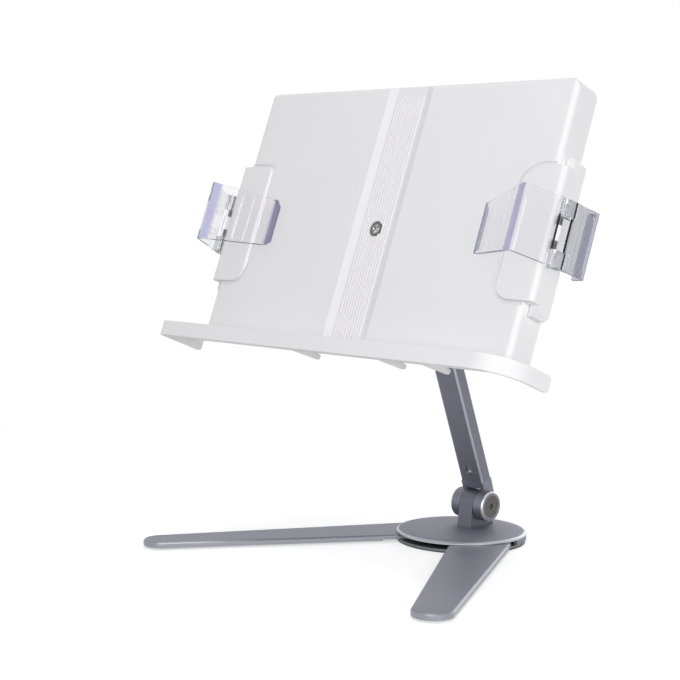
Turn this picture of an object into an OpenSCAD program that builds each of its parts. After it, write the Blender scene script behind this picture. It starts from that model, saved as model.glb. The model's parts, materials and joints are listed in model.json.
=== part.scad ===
// Adjustable book stand: a tilting plastic panel with a bottom ledge and two sprung page clips,
// on an aluminium post that is hinged at both ends and stands on a disc with two swinging legs.
// Millimetres, +Z up, the panel faces -Y, and the origin is on the table under the disc's centre.

/* [Base] */
// Radius of the round base cover
disc_r = 50.5; // [40:0.5:65]
// Thickness of the sheet of foam rubber under the base
pad_t = 0.8; // [0.5:0.1:2]
// Distance of that sheet's edge inside the cover's rim
pad_inset = 0.8; // [0.2:0.1:10]
// Thickness of the steel bottom plate
plate_t = 1.8; // [1.2:0.1:4]
// Distance of the bottom plate's edge inside the cover's rim
plate_inset = 0.8; // [0.4:0.1:3]
// Height of the gap that the leg roots turn in
leg_gap = 3.8; // [3:0.1:8]
// Thickness of the cover at its rim
cover_t = 2; // [1.5:0.1:5]
// How much the cover's flat middle stands above its rim
crown = 0.9; // [0.2:0.1:2]
// Width of the rolled-off band around that flat middle
rim_band = 14; // [6:0.5:20]
// Rounding of the cover's rim
rim_r = 1.8; // [0.5:0.1:1.9]
// Wall of the skirt under the cover
skirt_w = 3; // [2:0.5:6]
// Half of the angle that the leg slot takes at the front
slot_half = 98; // [80:1:110]
// Length of the hinge lug's foot on the cover
lug_foot = 28; // [24:0.5:40]
// Distance of the lug's two screws from the hinge axis
lug_screw_off = 8; // [6:0.5:11]
// Radius of those screws
lug_screw_r = 2; // [1.5:0.1:2.5]
// Radius of their heads
lug_screw_head_r = 4; // [3:0.1:5]
// Depth that they reach into the lug
lug_screw_bite = 5; // [3:0.5:8]
// Radius of the cover's bosses around them
lug_boss_r = 4.3; // [3.5:0.1:6]

/* [Legs] */
// Distance of each leg pivot from the middle plane
pivot_x = 23.6; // [23:0.1:30]
// Angle of each leg from straight ahead, as it stands
leg_angle = 31; // [20:0.5:45]
// Length of a leg from its pivot to its tip
leg_len = 233; // [150:1:300]
// Radius of a leg's root around its pivot
leg_root_r = 20; // [14:0.5:20]
// Half width of a leg at its shoulders, beside the root
leg_half = 22.6; // [21.5:0.1:23]
// Distance of the shoulders from the pivot
leg_shoulder = 16; // [10:0.5:24]
// Radius of a leg's rounded tip
leg_tip_r = 14.3; // [8:0.1:16]
// Width of the bevel along a leg's upper edges
leg_bevel = 1.2; // [0.4:0.1:2]
// Height of the rubber foot under a leg
foot_t = 1.9; // [0.6:0.1:2.4]
// Radius of that foot
foot_r = 6; // [4:0.1:10]
// Depth of the foot's recess in the leg
foot_sink = 0.4; // [0.2:0.1:1]
// Radius of a leg's pivot pin
leg_pin_r = 3; // [2:0.1:4]
// Radius of that pin's head
leg_head_r = 5; // [4:0.1:7]

/* [Hinges] */
// Height of the lower hinge axis above the table
hinge_z = 26; // [22:0.5:40]
// Distance of the lower hinge axis behind the disc's centre
hinge_y = 17; // [5:0.5:25]
// Radius of the hinge barrels
barrel_r = 11.75; // [9:0.25:16]
// Width of the whole hinge across both ears
hinge_w = 32.2; // [26:0.2:44]
// Width of the middle lug
lug_w = 13; // [8:0.5:18]
// Gap between the middle lug and each ear
ear_gap = 0.4; // [0.2:0.05:0.8]
// Rounding of the ears' outer edges
ear_r = 1.5; // [0.5:0.1:2.5]
// Gap between the lug's barrel and the throat of the fork
lug_gap = 1.8; // [1.6:0.1:3]
// Radius of the hinge bolt
bolt_r = 4; // [2.5:0.1:6]
// Radius of the dark end caps
cap_r = 8.5; // [6:0.1:10]
// Depth of the cap recess in an ear
cap_depth = 2.4; // [1.5:0.1:4]
// Distance of a cap's face below the ear's face
cap_sink = 0.4; // [0.2:0.1:1]
// Corner radius of the hexagon socket in a cap
hex_r = 2.6; // [1.5:0.1:4]
// Depth of that socket
hex_depth = 1.5; // [0.8:0.1:1.8]

/* [Post] */
// Distance between the two hinge axes
post_len = 216; // [150:2:300]
// Lean of the post towards the reader
post_lean = 21.3; // [0:0.1:45]
// Width of the flat post tube
tube_w = 21.8; // [18:0.2:30]
// Depth of the flat post tube
tube_d = 10.9; // [8:0.1:16]
// Wall of the post tube
tube_wall = 1.5; // [1:0.1:3]
// Rounding of the tube's corners
tube_r = 1.6; // [0.5:0.1:3]
// Distance of the tube's middle behind the line of the two axes
tube_back = 7.4; // [0:0.2:12]
// Distance from a hinge axis to the tube's end
fork_len = 18.5; // [16:0.5:30]
// Length of a fork's plug inside the tube
plug_len = 22; // [10:1:40]
// Distance of a tube screw from the tube's end
post_screw_up = 9.8; // [5:0.1:16]
// Radius of a tube screw
post_screw_r = 1.6; // [1.2:0.1:2.5]
// Radius of its head
post_screw_head_r = 3.2; // [2.5:0.1:4.5]
// Height of its head
post_screw_head_t = 1.2; // [0.8:0.1:1.6]
// Depth of that head's seat in the fork's plug
post_screw_sink = 0.8; // [0.2:0.1:1.5]

/* [Panel] */
// Width of the panel
panel_w = 300; // [240:5:380]
// Height of the panel above the hinge axis
panel_up = 111; // [90:1:150]
// Distance of the panel's bottom below the hinge axis
panel_down = 90.4; // [75:0.2:120]
// Depth of the panel shell
panel_t = 23.2; // [18:0.2:32]
// Lean of the panel away from the reader
panel_lean = 20.85; // [0:0.05:60]
// Wall of the panel shell
shell_wall = 2.4; // [1.6:0.1:4]
// Radius of the panel's upper corners
corner_r = 9; // [4:0.5:20]
// Rounding of the panel's front edges
edge_r = 4; // [2:0.5:8]
// Thickness of the back cover
back_t = 2; // [1.2:0.1:4]
// Distance of the cover's outer posts from the panel's sides
post_in = 20; // [14:1:30]
// Distance of the cover's inner posts from the middle
post_mid = 60; // [50:1:80]
// Distance of all of them from the panel's top and bottom
post_edge = 16; // [10:1:24]
// Radius of those posts
post_r = 4.5; // [3.5:0.1:6]
// Radius of the small screws in the back and in the ledge
screw_r = 1.5; // [1:0.1:2]
// Radius of their heads
screw_head_r = 2.8; // [2:0.1:4]
// Height of their heads
screw_head_t = 1.2; // [0.8:0.1:2]
// Distance from the panel's back to the hinge axis
head_gap = 21.6; // [17:0.2:30]
// Radius of the round head plate behind the panel
head_plate_r = 27; // [20:0.5:40]
// Thickness of the head plate
head_plate_t = 4.6; // [3:0.1:6]
// Half width of the spine channel at the panel's face
channel_half = 21.5; // [12:0.5:30]
// Depth of the spine channel
channel_depth = 2.2; // [1:0.1:4]
// Width of the channel's sloped sides
channel_bevel = 7; // [2:0.1:8]
// Number of fine ribs on the channel's floor
rib_count = 10; // [4:1:14]
// Distance between neighbouring ribs
rib_pitch = 2.7; // [2:0.1:5]
// Height of a rib
rib_h = 0.7; // [0.3:0.1:1.5]
// Half width of a rib at its foot
rib_foot = 0.7; // [0.5:0.05:1]
// Half width of a rib at its top
rib_top = 0.4; // [0.2:0.05:0.6]
// Length of the smooth band above the ribs
rib_top_gap = 8; // [2:0.5:20]
// Radius of the boss around the centre screw
boss_r = 10; // [8:0.5:14]
// Radius of the recess for the centre screw's head
boss_recess_r = 6; // [5:0.1:8]
// Depth of that recess
boss_recess = 3; // [2:0.1:5]
// Radius of the centre screw
boss_screw_r = 3; // [2:0.1:4]
// Radius of its head
boss_head_r = 5; // [4:0.1:6]
// Height of its head
boss_head_t = 2.8; // [2:0.1:4]

/* [Ledge] */
// Distance that the ledge runs past the panel's sides
ledge_over = 20; // [4:1:40]
// Distance of the lip in front of the panel's face
ledge_reach = 27; // [18:0.5:45]
// Distances that the ledge's left and right ends run behind the panel's face
ledge_back = [16.6, 22.6];
// Rounding of those ends
ledge_end_r = 3; // [1:0.1:5]
// Height of the lip and of the ledge's ends
lip_h = 11.3; // [8:0.1:25]
// Height of the lip's edge above the panel's bottom
lip_rise = 0.4; // [0:0.1:2]
// Height of the lip above the ledge's floor
lip_above = 3.8; // [2.5:0.1:12]
// Thickness of the ledge's floor
floor_t = 2.2; // [1.5:0.1:4]
// Wall of the lip and of the ledge's ends
lip_wall = 2.4; // [1.6:0.1:4]
// Radii of the ledge's left and right front corners
ledge_r = [4, 28];
// Thickness of the ledge's flange under the panel
flange_t = 2; // [1.5:0.1:3]
// Distance of the flange's edge in front of the panel's back
flange_in = 9; // [4:0.5:12]
// Distances of the ledge's screws from the middle
ledge_screw_x = [45, 112.5];
// Distance of the ledge's screws behind the panel's face
ledge_screw_back = 9; // [5:0.5:12]
// Places of the three fins under the ledge's floor
fin_x = [-27, 57, 97];
// Length of a fin behind the lip
fin_len = 33; // [24:0.5:40]
// Thickness of a fin
fin_t = 2; // [1.2:0.1:3]
// Height of a fin's lower edge above the lip's at its rounded end
fin_up = 1.6; // [0.4:0.1:4]
// Rounding of a fin's end
fin_r = 2; // [1:0.1:3]

/* [Side plates] */
// Half height of a side plate's face
face_half = 47; // [42:0.5:60]
// Half height of a side plate's outer wall
side_half = 55; // [50:0.5:70]
// Distance of that wall's ends behind the panel's face
side_set = 7.4; // [4:0.1:12]
// Bevel of the wall's outer corners
side_cut = 3; // [1:0.1:3]
// Width of a side plate's face over the panel
face_over = 26; // [18:0.5:36]
// Radii of the left and the right face's upper corner
face_top_r = [5, 16];
// Radius of a face's lower corner
face_r = 14; // [4:0.5:20]
// Rounding of the face's inner edge
lead_r = 2; // [0.5:0.1:2.2]
// Distance of a side plate's outer wall from the panel's side
side_out = 8; // [6:0.2:14]
// Depth of a side plate's outer wall
side_depth = 20; // [12:0.5:23]
// Wall of a side plate
plate_wall = 2.4; // [1.6:0.1:3.5]
// How much a side plate's face stands above the panel's face
proud = 1.5; // [0.6:0.1:2.4]
// Width of the panel's recess around a side plate's face
pocket_rim = 3; // [1.5:0.1:6]
// Distance that a side plate slides outwards
slide_travel = 25; // [10:1:40]
// Half height of the tongue that slides in the panel
tongue_half = 40; // [25:1:44]
// Thickness of the tongue
tongue_t = 3; // [2:0.1:5]
// Length of the tongue inside the panel
tongue_in = 44; // [30:1:60]
// Distance of the tongue behind the panel's face
tongue_back = 11; // [8:0.5:14]
// Thickness of the panel's rails above and below the tongue
guide_w = 2; // [1.5:0.1:4]

/* [Page clips] */
// Height of a clip
clip_h = 45.8; // [36:0.2:60]
// Height of a clip's tip
tip_h = 36; // [24:0.5:50]
// Distance of the clip's axis outside the side plate's wall
axis_out = 4; // [3.4:0.1:7]
// Distance of the clip's axis behind the panel's face
axis_back = 1; // [0:0.1:6]
// Distance from the axis in to the clip's tip
tip_in = 59.3; // [40:0.5:80]
// Height of the foot at the clip's tip
tip_foot = 4.4; // [3:0.1:6]
// How far that foot's corners are cut
tip_cut = 4; // [1:0.1:6]
// Distance from the axis in to the clip's ridge
ridge_in = 8.1; // [2:0.1:16]
// Distance from the axis forward to the clip's ridge
ridge_fwd = 33.3; // [20:0.1:45]
// Radius of the rounded ridge
ridge_r = 4; // [2.5:0.1:6]
// Distance from the axis out to the bend between the clip's wall and its handle
bend_out = 4.2; // [3.8:0.1:6]
// Distance from the axis forward to that bend
bend_fwd = 3; // [0:0.1:6]
// Distance from the axis out to the handle's end
handle_out = 12.3; // [6:0.1:20]
// Distance from the axis back to the handle's end
handle_back = 25.8; // [20:0.1:40]
// Radius of the bend at the handle's end
handle_r = 2.8; // [2.5:0.1:5]
// Length of the handle's turned-in lip
handle_lip = 11; // [5:0.5:13]
// How far that lip slopes back
handle_slope = 1.6; // [0:0.1:4]
// Wall of a clip
clip_wall = 2.2; // [1.6:0.1:3]
// Gap between a closed clip's tip and the panel
tip_gap = 0.9; // [0.4:0.1:3]
// Number of ribs down the inside of the page flange
flange_ribs = 5; // [3:1:9]
// Distance between those ribs
flange_rib_pitch = 9; // [5:0.5:12]
// Radius of those ribs
flange_rib_r = 0.6; // [0.4:0.1:1]
// Height of the window in a clip
window_h = 24; // [18:0.2:30]
// Distance that the window reaches in front of the axis
window_fwd = 4.5; // [3.5:0.1:6]
// Distance that the window reaches behind the axis
window_back = 5; // [3.5:0.1:6]
// Radius of a clip's knuckles
knuckle_r = 3.2; // [2.6:0.1:3.6]
// Distance that a knuckle's web reaches behind the axis
knuckle_back = 8; // [6:0.5:14]
// How far a knuckle stands out of the handle's outer face
knuckle_out = 1; // [0.4:0.1:2]
// Width of that web at its rear end
knuckle_web = 3; // [2:0.1:5]
// Width of the finger recess in a handle
recess_w = 10.4; // [6:0.1:14]
// Depth of the finger recess
recess_d = 0.9; // [0.4:0.1:1.4]
// Corner radius of the finger recess
recess_r = 4.4; // [2:0.1:4.4]
// Distance of the finger recess from the clip's top and bottom
recess_edge = 2.6; // [1.6:0.1:12]
// Distance of the recess's middle from the handle's end
recess_in = 9.4; // [6:0.1:14]
// Radius of the clip's steel pin
pin_r = 1.2; // [0.8:0.1:1.4]
// Distance of the pin's ends inside the clip's ends
pin_sink = 0.6; // [0.2:0.1:2]
// Length of the side plate's barrel on the pin
barrel_len = 10.6; // [8:0.2:20]
// Radius of that barrel
plate_barrel_r = 2.9; // [2.2:0.1:3.1]
// Radius of the spring's wire
wire_r = 0.35; // [0.2:0.05:0.5]
// Mean radius of a spring's curls
curl_r = 2; // [1.8:0.1:2.6]
// Number of curls of a spring
curls = 4.5; // [1.5:1:4.5]
// Rise of a spring in one curl
curl_pitch = 1.2; // [1.15:0.05:2]
// Distance that a spring's ends reach behind the axis
spring_leg = 7.5; // [6:0.1:9]

/* [Hidden] */
$fn = 64;
// running fit of pins in bores, tight fit, and gaps between pieces that slide or lie beside each other
fit = 0.05;
tight = 0.01;
slip = 0.2;
side_gap = 0.6;
// height of flat screw heads, and how far cuts run past the faces that they open
head_t = 0.8;
past = 1;
// length, depth and width of the cross slots in the tube screws and in the panel's centre screw
tube_cross = [4.4, 0.8, 0.9];
boss_cross = [6.4, 1.4, 1.2];

plate_z = pad_t + plate_t;
cover_z = plate_z + leg_gap;
rim_z = cover_z + cover_t;
top_z = rim_z + crown;
flat_r = disc_r - rim_band;
pin_top = cover_z + cover_t / 2;
roll_steps = 6;
leg_top = cover_z - slip;
leg_tip = [0, leg_tip_r - leg_len];
shoulder = [leg_half, -leg_shoulder];
// where the straight edges from the shoulders meet the root's and the tip's arcs
root_turn = acos(leg_root_r / norm(shoulder)) + atan2(shoulder[1], shoulder[0]);
tip_turn = acos(leg_tip_r / norm(shoulder - leg_tip)) - atan2(shoulder[1] - leg_tip[1], shoulder[0]);

ear_in = lug_w / 2 + ear_gap;
ear_out = hinge_w / 2;
lug_room = barrel_r + lug_gap;
post_screw_s = fork_len + post_screw_up;
tube_hole = [tube_w - 2 * tube_wall, tube_d - 2 * tube_wall];
plug_gap = 0.1;
plug_y = tube_back - tube_d / 2 + tube_wall + plug_gap;
screw_seat = plug_y + post_screw_sink;

face_y = -(head_gap + panel_t);
back_y = -head_gap;
cover_face_y = back_y - back_t;
channel_y = face_y + channel_depth;
half_w = panel_w / 2;
boss_screw_room = 5;
boss_screw_end = -bolt_r - boss_screw_room;
screw_bite = 7;
back_posts = [for (x = [half_w - post_in, post_mid], z = [panel_up - post_edge, post_edge - panel_down])
    [x, z]];

ledge_half = half_w + ledge_over;
lip_top = lip_rise - panel_down;
lip_bottom = lip_top - lip_h;
floor_top = lip_top - lip_above;
lip_y = face_y - ledge_reach;
flange_y = back_y - flange_in;
ledge_screw_y = face_y + ledge_screw_back;

pocket_depth = plate_wall - proud + slip;
face_x = half_w - face_over;
pocket_in = face_x - pocket_rim;
pocket_half = face_half + pocket_rim;
side_x = half_w + side_out;
side_in = half_w + side_gap;
side_front = face_y - proud;
side_rear = face_y + side_depth;
tongue_y = face_y + tongue_back;

axis_x = side_x + axis_out;
axis_y = face_y + axis_back;

// rows of points on an arc, a path's corner made round, and a path's corners moved to its left
function arc(c, r, a0, a1, n = 8) =
    [for (i = [0 : n]) c + r * [cos(a0 + (a1 - a0) * i / n), sin(a0 + (a1 - a0) * i / n)]];
function unit(v) = v / norm(v);
function left_of(v) = [-v[1], v[0]];
function side_at(p, i) =
    let (last = len(p) - 1,
         a = unit(p[max(i, 1)] - p[max(i, 1) - 1]),
         b = unit(p[min(i + 1, last)] - p[min(i + 1, last) - 1]),
         m = unit(left_of(a) + left_of(b)))
    m / (m * left_of(a));
function rounded(a, b, c, r, n = 6) =
    let (u = unit(a - b), v = unit(c - b), half = acos(u * v) / 2, mid = b + unit(u + v) * r / sin(half),
         s = b + u * r / tan(half) - mid, start = atan2(s[1], s[0]))
    arc(mid, r, start, start + sign(cross(u, v)) * (2 * half - 180), n);
function band(p, t) =
    concat(p, [for (i = [len(p) - 1 : -1 : 0]) p[i] + t * side_at(p, i)]);

// a rounded rectangle about the origin
module soft_rect(w, h, r) {
    polygon(concat(
        arc([w / 2 - r, h / 2 - r], r, 0, 90), arc([r - w / 2, h / 2 - r], r, 90, 180),
        arc([r - w / 2, r - h / 2], r, 180, 270), arc([w / 2 - r, r - h / 2], r, 270, 360)));
}

// an outline drawn in y and z, swept along x
module across(x0, x1) {
    translate([x0, 0, 0]) rotate([90, 0, 90]) linear_extrude(x1 - x0) children();
}

// an outline drawn in x and z, swept along y
module through(y0, y1) {
    translate([0, y1, 0]) rotate([90, 0, 0]) linear_extrude(y1 - y0) children();
}

module rod(x0, x1, r) {
    translate([x0, 0, 0]) rotate([0, 90, 0]) cylinder(h = x1 - x0, r = r);
}

module rod_y(y0, y1, r) {
    translate([0, y1, 0]) rotate([90, 0, 0]) cylinder(h = y1 - y0, r = r);
}

// the cross of a screw head that faces the reader
module cross_slot(size) {
    for (turn = [45, 135]) rotate([0, turn, 0])
        translate([-size[0] / 2, -past, -size[2] / 2]) cube([size[0], size[1] + past, size[2]]);
}

// places of the moving groups as the stand is photographed
module at_post() {
    translate([0, hinge_y, hinge_z]) rotate([post_lean, 0, 0]) children();
}
module at_panel() {
    at_post() translate([0, 0, post_len]) rotate([-panel_lean - post_lean, 0, 0]) children();
}
module at_leg(side) {
    translate([side * pivot_x, 0, 0]) rotate([0, 0, side * leg_angle]) children();
}
module at_clip(side) {
    mirror([side < 0 ? 1 : 0, 0, 0]) translate([axis_x, axis_y, 0]) children();
}
module sided(side) {
    mirror([side < 0 ? 1 : 0, 0, 0]) children();
}

// base

module base_pad() {
    color("#2b2b2d") cylinder(h = pad_t, r = disc_r - pad_inset);
}

module base_plate() {
    color("#767a80")
    difference() {
        translate([0, 0, pad_t]) cylinder(h = plate_t, r = disc_r - plate_inset);
        for (side = [-1, 1]) translate([side * pivot_x, 0, 0]) {
            cylinder(h = plate_z + past, r = leg_pin_r + fit);
            cylinder(h = pad_t + head_t, r = leg_head_r + fit);
        }
        for (side = [-1, 1]) translate([0, hinge_y + side * lug_screw_off, 0]) {
            cylinder(h = plate_z + past, r = lug_screw_r + fit);
            cylinder(h = pad_t + head_t, r = lug_screw_head_r + fit);
        }
    }
}

module base_cover() {
    color("#b9bdc4")
    difference() {
        union() {
            rotate_extrude() polygon(concat(
                [[0, cover_z], [disc_r, cover_z]],
                arc([disc_r - rim_r, rim_z - rim_r], rim_r, 0, 90, 4),
                [for (i = [roll_steps - 1 : -1 : 0])
                    [flat_r + (rim_band - rim_r) * i / roll_steps, top_z - crown * pow(i / roll_steps, 2)]],
                [[0, top_z]]));
            difference() {
                translate([0, 0, plate_z]) cylinder(h = leg_gap + cover_t / 2, r = disc_r);
                translate([0, 0, plate_z - past]) cylinder(h = leg_gap + past, r = disc_r - skirt_w);
                translate([0, 0, plate_z - past]) linear_extrude(leg_gap + past)
                    polygon([[0, 0],
                        for (i = [-4 : 4]) 2 * disc_r * [sin(slot_half * i / 4), -cos(slot_half * i / 4)]]);
            }
            for (side = [-1, 1]) translate([0, hinge_y + side * lug_screw_off, plate_z])
                cylinder(h = leg_gap + cover_t / 2, r = lug_boss_r);
        }
        for (side = [-1, 1]) {
            translate([side * pivot_x, 0, 0]) cylinder(h = pin_top, r = leg_pin_r + fit);
            translate([0, hinge_y + side * lug_screw_off, 0])
                cylinder(h = top_z + past, r = lug_screw_r + fit);
        }
    }
}

module leg_pin(side) {
    color("#8d9094") translate([side * pivot_x, 0, pad_t]) {
        cylinder(h = head_t, r = leg_head_r);
        cylinder(h = pin_top - pad_t, r = leg_pin_r);
    }
}
module leg_pin_left() leg_pin(-1);
module leg_pin_right() leg_pin(1);

module lug_screws() {
    color("#8d9094")
    for (side = [-1, 1]) translate([0, hinge_y + side * lug_screw_off, pad_t]) {
        cylinder(h = head_t, r = lug_screw_head_r);
        cylinder(h = top_z - pad_t + lug_screw_bite, r = lug_screw_r);
    }
}

module lug_outline(foot_at, foot) {
    circle(r = barrel_r);
    polygon([[-foot / 2, -foot_at], [foot / 2, -foot_at], [barrel_r, 0], [-barrel_r, 0]]);
}

module base_lug() {
    color("#aeb2b9")
    difference() {
        translate([0, hinge_y, hinge_z]) across(-lug_w / 2, lug_w / 2)
            lug_outline(hinge_z - top_z, lug_foot);
        translate([0, hinge_y, hinge_z]) rod(-lug_w, lug_w, bolt_r + fit);
        for (side = [-1, 1]) translate([0, hinge_y + side * lug_screw_off, 0])
            cylinder(h = top_z + lug_screw_bite + past, r = lug_screw_r + fit);
    }
}

// legs

// outline of a leg pointing straight ahead from its pivot
module leg_outline(inset) {
    polygon(concat(
        arc([0, 0], leg_root_r - inset, root_turn, 180 - root_turn, 24),
        [[inset - leg_half, -leg_shoulder]],
        arc(leg_tip, leg_tip_r - inset, 180 + tip_turn, 360 - tip_turn, 16),
        [[leg_half - inset, -leg_shoulder]]));
}

// room for the bottom plate in every place from the open leg to the closed one
module plate_room() {
    for (i = [0 : 3]) rotate([0, 0, leg_angle * (i / 3 - 1)])
        translate([-pivot_x, 0, 0]) cylinder(h = plate_z + slip, r = disc_r + side_gap);
}

// the right leg, drawn closed; the left one is its mirror image
module leg_body() {
    difference() {
        translate([0, 0, foot_t]) hull() {
            linear_extrude(leg_top - foot_t - leg_bevel) leg_outline(0);
            linear_extrude(leg_top - foot_t) leg_outline(leg_bevel);
        }
        plate_room();
        cylinder(h = leg_top + past, r = leg_pin_r + fit);
        translate(leg_tip) cylinder(h = foot_t + foot_sink, r = foot_r + fit);
    }
}

module leg(side) {
    color("#b4b8bf") at_leg(side) sided(side) leg_body();
}
module leg_left() leg(-1);
module leg_right() leg(1);

module leg_foot(side) {
    color("#2b2b2d") at_leg(side) translate(leg_tip)
        cylinder(h = foot_t + foot_sink, r = foot_r);
}
module leg_foot_left() leg_foot(-1);
module leg_foot_right() leg_foot(1);

// post, from the lower hinge axis upwards along z

module fork_body() {
    difference() {
        union() {
            rotate([0, 90, 0]) rotate_extrude() polygon(concat(
                [[0, -ear_out]], arc([barrel_r - ear_r, ear_r - ear_out], ear_r, 270, 360, 4),
                arc([barrel_r - ear_r, ear_out - ear_r], ear_r, 0, 90, 4), [[0, ear_out]]));
            // neck of the tube's width and depth
            across(-tube_w / 2, tube_w / 2) polygon([
                [tube_back - tube_d / 2, 0], [tube_back - tube_d / 2, fork_len],
                [tube_back + tube_d / 2, fork_len], [barrel_r, 0]]);
            translate([0, tube_back, fork_len - past]) linear_extrude(plug_len + past)
                square(tube_hole - 2 * plug_gap * [1, 1], center = true);
        }
        rod(-ear_in, ear_in, lug_room);
        translate([-ear_in, -2 * barrel_r, -2 * barrel_r]) cube([2 * ear_in, 4 * barrel_r, 2 * barrel_r]);
        rod(-ear_out, ear_out, bolt_r + fit);
        for (side = [-1, 1]) sided(side) rod(ear_out - cap_depth, ear_out + past, cap_r + fit);
        translate([0, 0, post_screw_s]) {
            rod_y(tube_back - tube_d, screw_seat, post_screw_head_r + slip);
            rod_y(tube_back - tube_d, tube_back, post_screw_r + fit);
        }
    }
}

module lower_fork() {
    color("#aeb2b9") at_post() fork_body();
}
module upper_fork() {
    color("#aeb2b9") at_post() translate([0, 0, post_len]) mirror([0, 0, 1]) fork_body();
}

module post_tube() {
    color("#a9adb5") at_post()
    difference() {
        translate([0, tube_back, fork_len]) linear_extrude(post_len - 2 * fork_len) difference() {
            soft_rect(tube_w, tube_d, tube_r);
            square(tube_hole, center = true);
        }
        for (s = [post_screw_s, post_len - post_screw_s]) translate([0, 0, s])
            rod_y(tube_back - tube_d, tube_back, post_screw_head_r + slip);
    }
}

// the head sits in a round seat in the fork's plug, behind a hole in the tube's wall
module post_screw(s) {
    color("#c9ccd0") at_post() translate([0, 0, s]) difference() {
        union() {
            rod_y(screw_seat - post_screw_head_t, screw_seat, post_screw_head_r);
            rod_y(screw_seat, tube_back - slip, post_screw_r);
        }
        translate([0, screw_seat - post_screw_head_t, 0]) cross_slot(tube_cross);
    }
}
module post_screw_lower() post_screw(post_screw_s);
module post_screw_upper() post_screw(post_len - post_screw_s);

module hinge_bolt() {
    rod(cap_depth - ear_out, ear_out - cap_depth, bolt_r);
}
module lower_bolt() color("#8d9094") at_post() hinge_bolt();
module upper_bolt() color("#8d9094") at_post() translate([0, 0, post_len]) hinge_bolt();

module hinge_cap(side) {
    color("#55514d") sided(side) difference() {
        rod(ear_out - cap_depth, ear_out - cap_sink, cap_r);
        translate([ear_out - cap_sink - hex_depth, 0, 0]) rotate([0, 90, 0])
            cylinder(h = hex_depth + past, r = hex_r, $fn = 6);
    }
}
module lower_cap_left() at_post() hinge_cap(-1);
module lower_cap_right() at_post() hinge_cap(1);
module upper_cap_left() at_post() translate([0, 0, post_len]) hinge_cap(-1);
module upper_cap_right() at_post() translate([0, 0, post_len]) hinge_cap(1);

// panel, about the upper hinge axis

module panel_head() {
    color("#aeb2b9") at_panel() difference() {
        union() {
            across(-lug_w / 2, lug_w / 2) rotate(-90) lug_outline(head_gap - head_plate_t + past, lug_foot);
            rod_y(back_y, back_y + head_plate_t, head_plate_r);
        }
        rod(-lug_w, lug_w, bolt_r + fit);
        rod_y(back_y - past, boss_screw_end + past, boss_screw_r + fit);
    }
}

module channel_cut(z0, z1, ribs) {
    floor_half = channel_half - channel_bevel;
    rib_rows = [for (i = [0 : ribs - 1]) let (x = (i - (ribs - 1) / 2) * rib_pitch)
        each [[x - rib_foot, channel_y], [x - rib_top, channel_y - rib_h],
            [x + rib_top, channel_y - rib_h], [x + rib_foot, channel_y]]];
    translate([0, 0, z0]) linear_extrude(z1 - z0) polygon(concat(
        [[-floor_half, channel_y]], rib_rows,
        [[floor_half, channel_y], [channel_half, face_y], [channel_half, face_y - past],
            [-channel_half, face_y - past], [-channel_half, face_y]]));
}

module shell_form() {
    intersection() {
        through(face_y, back_y) polygon(concat(
            [[-half_w, -panel_down], [half_w, -panel_down]],
            arc([half_w - corner_r, panel_up - corner_r], corner_r, 0, 90),
            arc([corner_r - half_w, panel_up - corner_r], corner_r, 90, 180)));
        translate([0, 0, -panel_down]) linear_extrude(panel_up + panel_down) polygon(concat(
            [[half_w, back_y], [-half_w, back_y]],
            arc([edge_r - half_w, face_y + edge_r], edge_r, 180, 270),
            arc([half_w - edge_r, face_y + edge_r], edge_r, 270, 360)));
        across(-half_w, half_w) polygon(concat(
            [[back_y, -panel_down], [back_y, panel_up]],
            arc([face_y + edge_r, panel_up - edge_r], edge_r, 90, 180),
            [[face_y, -panel_down]]));
    }
}

module panel_shell() {
    tongue_slot = tongue_t / 2 + slip;
    rail_y = tongue_y + 2 * tongue_t;
    color("#f1efec") at_panel() difference() {
        union() {
            difference() {
                shell_form();
                difference() {
                    translate([shell_wall - half_w, face_y + shell_wall, shell_wall - panel_down])
                        cube([panel_w - 2 * shell_wall, panel_t, panel_up + panel_down - 2 * shell_wall]);
                    translate([-channel_half - shell_wall, face_y, -panel_down])
                        cube([2 * (channel_half + shell_wall), shell_wall + channel_depth,
                            panel_up + panel_down]);
                    for (side = [-1, 1]) sided(side)
                        translate([pocket_in - shell_wall, face_y, -pocket_half - shell_wall])
                            cube([half_w, shell_wall + pocket_depth, 2 * (pocket_half + shell_wall)]);
                }
            }
            rod_y(channel_y, cover_face_y, boss_r);
            for (side = [-1, 1], p = back_posts) translate([side * p[0], 0, p[1]])
                rod_y(face_y + shell_wall - past, cover_face_y, post_r);
            for (side = [-1, 1], up = [-1, 1]) sided(side)
                translate([half_w - tongue_in - slide_travel, face_y + shell_wall,
                    up * (tongue_half + slip + guide_w / 2) - guide_w / 2])
                    cube([tongue_in + slide_travel - shell_wall / 2, rail_y - face_y - shell_wall,
                        guide_w]);
        }
        channel_cut(panel_up - rib_top_gap, panel_up + past, 0);
        channel_cut(-panel_down - past, panel_up - rib_top_gap, rib_count);
        rod_y(face_y - past, channel_y + boss_recess, boss_recess_r);
        rod_y(face_y, back_y, boss_screw_r + fit);
        for (side = [-1, 1]) sided(side) {
            through(face_y - past, face_y + pocket_depth) face_outline(side, pocket_rim, side_x);
            translate([half_w - 2 * shell_wall, tongue_y - tongue_slot, -tongue_half - slip])
                cube([4 * shell_wall, 2 * tongue_slot, 2 * tongue_half + 2 * slip]);
        }
        for (side = [-1, 1], p = back_posts) translate([side * p[0], 0, p[1]])
            rod_y(cover_face_y - screw_bite - past, cover_face_y + past, screw_r + fit);
        at_ledge_screws() translate([0, 0, -past]) cylinder(h = shell_wall + 2 * past, r = screw_r + fit);
    }
}

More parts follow.
